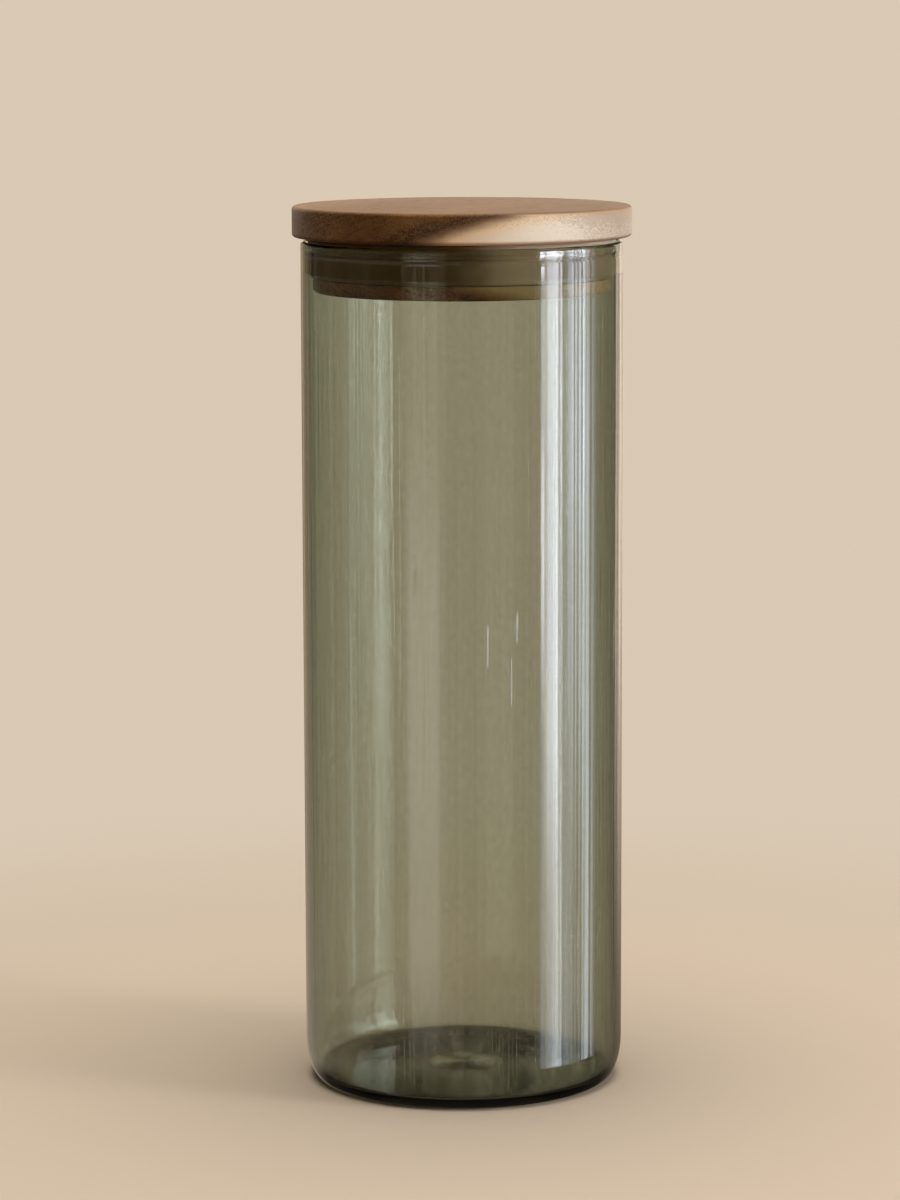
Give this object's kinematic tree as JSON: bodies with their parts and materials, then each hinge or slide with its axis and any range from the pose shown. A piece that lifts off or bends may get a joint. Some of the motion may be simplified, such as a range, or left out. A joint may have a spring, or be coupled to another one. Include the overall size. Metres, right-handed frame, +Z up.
{
  "type": "airtight storage jar",
  "caption": "Tall cylindrical smoked-glass storage jar closed by a turned wooden plug lid with a silicone sealing ring; the lid lifts off and turns.",
  "frame": {"origin": "centre of the base, on the surface the jar stands on", "axes": "+Z up along the jar's axis, towards the lid; X and Y are free, because the jar is round"},
  "size_m": [0.1052, 0.1052, 0.275],
  "materials": {
    "smoked_glass": "clear smoked grey-green borosilicate glass, polished",
    "grey_silicone": "translucent grey silicone, satin",
    "acacia": "oiled acacia, satin"
  },
  "bodies": {
    "jar": {"glass_jar": "smoked_glass"},
    "seal": {"silicone_seal": "grey_silicone"},
    "lid": {"wooden_lid": "acacia"}
  },
  "joints": [
    {"name": "lid_lift", "type": "slide", "parent": "jar", "child": "seal", "axis": [0, 0, 1], "range_m": [0, 0.06]},
    {"name": "lid_turn", "type": "hinge", "parent": "seal", "child": "lid", "pos_m": [0, 0, 0.2655], "axis": [0, 0, 1], "continuous": true}
  ]
}
